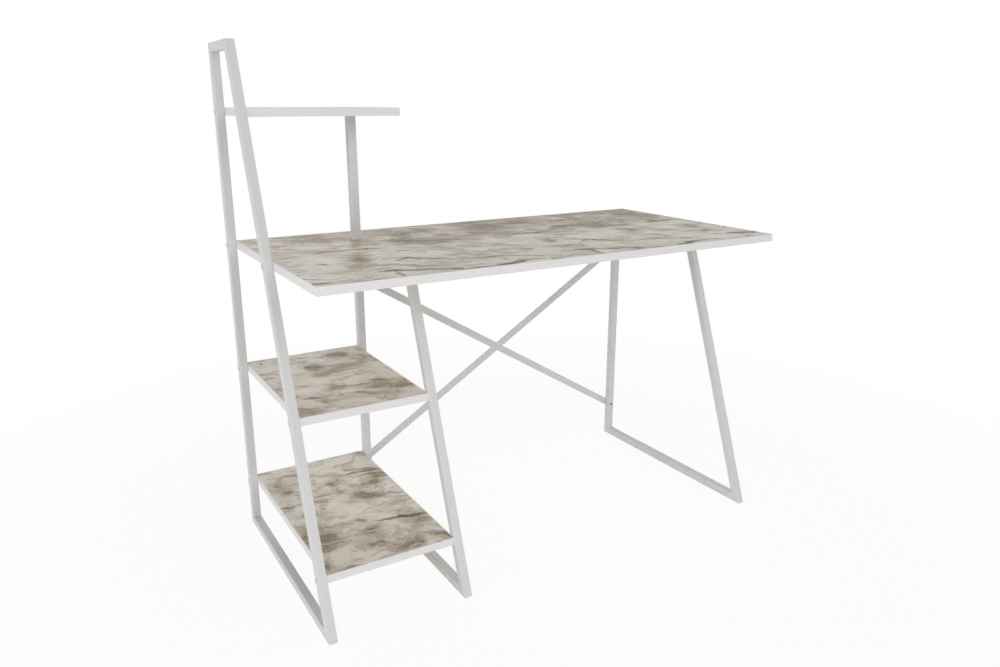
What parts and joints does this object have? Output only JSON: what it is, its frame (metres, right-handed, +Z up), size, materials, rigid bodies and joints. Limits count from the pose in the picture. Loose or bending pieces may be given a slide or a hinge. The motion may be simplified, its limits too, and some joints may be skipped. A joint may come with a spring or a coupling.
{
  "type": "desk",
  "caption": "Writing desk on slanted square-tube frames, with a marbled desktop, a shelf unit and a raised shelf at its left end and a flat cross brace behind.",
  "frame": {"origin": "on the floor, under the middle of the overall box", "axes": "+Z up, +X to the desk's free right end as seen by the sitter, +Y to the rear, where the cross brace is"},
  "size_m": [1.2228, 0.6058, 1.2],
  "materials": {
    "powder_coated_steel": "white powder coat, fine-grained, half matt",
    "laminate_board": "particle board faced with matt marble-pattern laminate",
    "edge_band": "white plastic edge band, matt",
    "screw_steel": "zinc-plated steel",
    "zinc_steel": "zinc-plated steel, unseen"
  },
  "bodies": {
    "root": {"bottom_shelf_band_front": "edge_band", "bottom_shelf_band_left": "edge_band", "bottom_shelf_band_rear": "edge_band", "bottom_shelf_band_right": "edge_band", "bottom_shelf_board": "laminate_board", "brace_bolts": "screw_steel", "brace_long_bar": "powder_coated_steel", "brace_lower_half_bar": "powder_coated_steel", "brace_rivet_nuts": "zinc_steel", "brace_upper_half_bar": "powder_coated_steel", "desktop_band_front": "edge_band", "desktop_band_left": "edge_band", "desktop_band_rear": "edge_band", "desktop_band_right": "edge_band", "desktop_board": "laminate_board", "desktop_rail_screws": "screw_steel", "left_frame_bottom_rail": "powder_coated_steel", "left_frame_front_leg": "powder_coated_steel", "left_frame_rear_leg": "powder_coated_steel", "left_frame_screws": "screw_steel", "left_frame_top_bar": "powder_coated_steel", "middle_frame_bottom_rail": "powder_coated_steel", "middle_frame_front_leg": "powder_coated_steel", "middle_frame_rear_upright": "powder_coated_steel", "middle_frame_screws": "screw_steel", "middle_frame_top_rail": "powder_coated_steel", "middle_shelf_band_front": "edge_band", "middle_shelf_band_left": "edge_band", "middle_shelf_band_rear": "edge_band", "middle_shelf_band_right": "edge_band", "middle_shelf_board": "laminate_board", "post_screws": "screw_steel", "right_frame_bottom_rail": "powder_coated_steel", "right_frame_front_leg": "powder_coated_steel", "right_frame_rear_upright": "powder_coated_steel", "right_frame_top_rail": "powder_coated_steel", "shelf_post": "powder_coated_steel", "shelf_post_lower_plug": "zinc_steel", "shelf_post_upper_plug": "zinc_steel", "top_shelf_band_front": "edge_band", "top_shelf_band_left": "edge_band", "top_shelf_band_rear": "edge_band", "top_shelf_band_right": "edge_band", "top_shelf_board": "laminate_board"}
  },
  "joints": []
}
